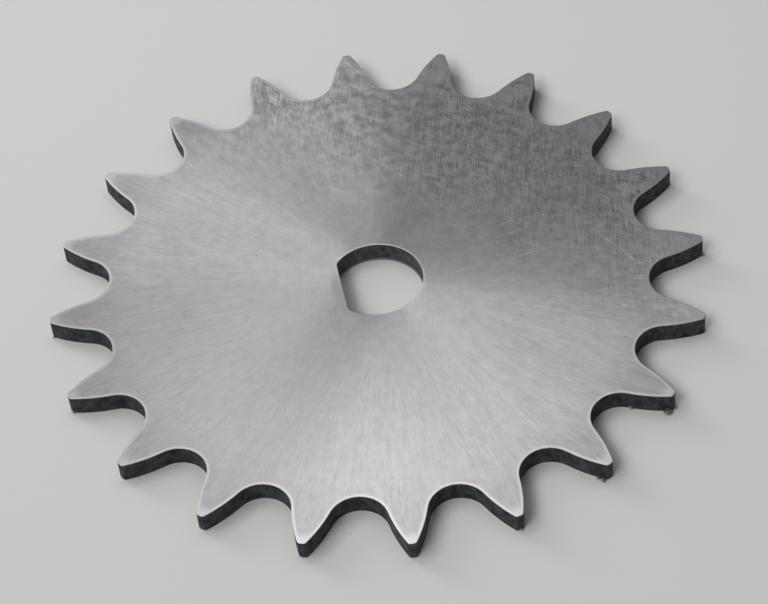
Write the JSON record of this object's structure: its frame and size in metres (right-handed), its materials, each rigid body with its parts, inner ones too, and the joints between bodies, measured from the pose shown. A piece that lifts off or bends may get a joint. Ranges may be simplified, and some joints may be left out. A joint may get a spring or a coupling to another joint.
{
  "type": "chain sprocket",
  "caption": "Flat plate sprocket for single roller chain, with pointed teeth round its rim, a sanded face and a D-shaped centre bore.",
  "frame": {"origin": "on the bore axis, at the back face that the sprocket lies on", "axes": "+Z along the bore axis, out of the sanded front face; +Y through the tip of one tooth; the bore's flat is on the -X side, turned 5.8 degrees anticlockwise from -X"},
  "size_m": [0.089, 0.089, 0.003],
  "materials": {
    "sprocket_plate": "sanded face with fine scratches that run outwards from the bore, darker walls left as cut"
  },
  "bodies": {
    "root": {"sprocket": "sprocket_plate"}
  },
  "joints": []
}
